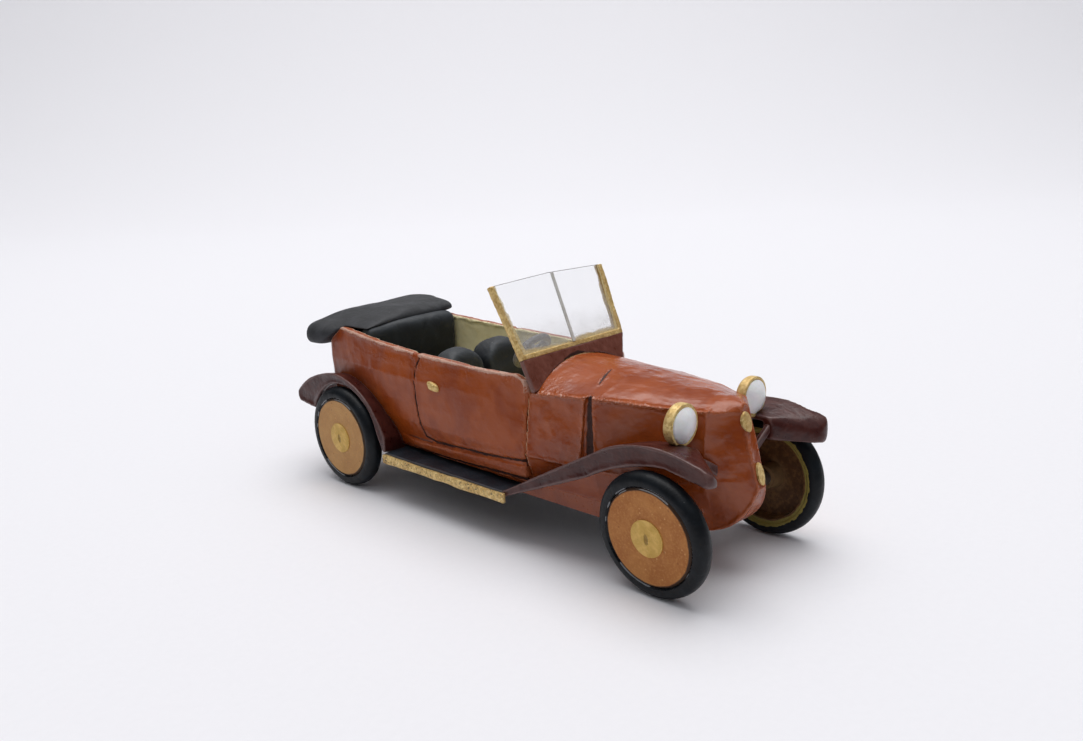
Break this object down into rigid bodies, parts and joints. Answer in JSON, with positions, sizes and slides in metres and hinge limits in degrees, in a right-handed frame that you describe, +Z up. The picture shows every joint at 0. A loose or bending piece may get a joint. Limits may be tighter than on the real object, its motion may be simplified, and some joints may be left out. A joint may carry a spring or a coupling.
{
  "type": "1920s vintage car miniature",
  "caption": "Small hand-painted model of an open 1920s touring car: sloping nose, arched wings, folded hood, solid windscreen and disc wheels that roll freely on wire axles.",
  "frame": {"origin": "on the floor under the middle of the car: the middle of its length and width, at the tyres' contact height", "axes": "+Z up, -Y towards the nose, +Y towards the folded hood, -X to the car's right-hand (driver's) side"},
  "size_m": [0.0142, 0.0409, 0.0173],
  "materials": {
    "body_paint": "glossy brush-painted rust brown",
    "wing_paint": "glossy brush-painted dark maroon",
    "board_paint": "satin blue-black paint",
    "chassis_paint": "satin black-brown paint",
    "gold_paint": "grainy gold paint",
    "disc_paint": "semi-gloss orange-tan paint",
    "tyre_paint": "satin blue-black",
    "windscreen_glass": "clear sheet, a little dusty",
    "seat_paint": "matt black paint",
    "hood_paint": "matt grey-black paint",
    "lens_paint": "glossy white paint",
    "axle_wire": "drawn steel wire"
  },
  "bodies": {
    "car_body": {"body_tub": "body_paint", "bonnet": "body_paint", "chassis": "chassis_paint", "crank_socket": "gold_paint", "dashboard": "body_paint", "door_handle_left": "gold_paint", "door_handle_right": "gold_paint", "folded_hood": "hood_paint", "front_axle": "axle_wire", "front_seat_left": "seat_paint", "front_seat_right": "seat_paint", "front_wing_left": "wing_paint", "front_wing_right": "wing_paint", "front_wing_stay_left": "chassis_paint", "front_wing_stay_right": "chassis_paint", "headlamp_left": "gold_paint", "headlamp_lens_left": "lens_paint", "headlamp_lens_right": "lens_paint", "headlamp_right": "gold_paint", "nose_badge": "gold_paint", "rear_axle": "axle_wire", "rear_seat": "seat_paint", "rear_wing_left": "wing_paint", "rear_wing_right": "wing_paint", "running_board_left": "board_paint", "running_board_right": "board_paint", "running_board_strip_left": "gold_paint", "running_board_strip_right": "gold_paint", "scuttle": "body_paint", "steering_column": "chassis_paint", "steering_wheel": "chassis_paint", "windscreen_apron": "body_paint", "windscreen_bar": "gold_paint", "windscreen_frame": "gold_paint", "windscreen_pane": "windscreen_glass"},
    "wheel_front_left": {"tyre_front_left": "tyre_paint", "wheel_disc_front_left": "disc_paint", "hub_cap_front_left": "disc_paint"},
    "wheel_front_right": {"tyre_front_right": "tyre_paint", "wheel_disc_front_right": "disc_paint", "hub_cap_front_right": "disc_paint"},
    "wheel_rear_left": {"tyre_rear_left": "tyre_paint", "wheel_disc_rear_left": "disc_paint", "hub_cap_rear_left": "disc_paint"},
    "wheel_rear_right": {"tyre_rear_right": "tyre_paint", "wheel_disc_rear_right": "disc_paint", "hub_cap_rear_right": "disc_paint"}
  },
  "joints": [
    {"name": "roll_front_left", "type": "hinge", "parent": "car_body", "child": "wheel_front_left", "pos_m": [0.00685, -0.0162, 0.0039], "axis": [0.9977, 0, -0.0671], "continuous": true},
    {"name": "roll_front_right", "type": "hinge", "parent": "car_body", "child": "wheel_front_right", "pos_m": [-0.00685, -0.0162, 0.0039], "axis": [-0.9977, 0, -0.0671], "continuous": true},
    {"name": "roll_rear_left", "type": "hinge", "parent": "car_body", "child": "wheel_rear_left", "pos_m": [0.00685, 0.0141, 0.00394], "axis": [0.9999, 0, -0.0166], "continuous": true},
    {"name": "roll_rear_right", "type": "hinge", "parent": "car_body", "child": "wheel_rear_right", "pos_m": [-0.00685, 0.0141, 0.00394], "axis": [-0.9999, 0, -0.0166], "continuous": true}
  ]
}
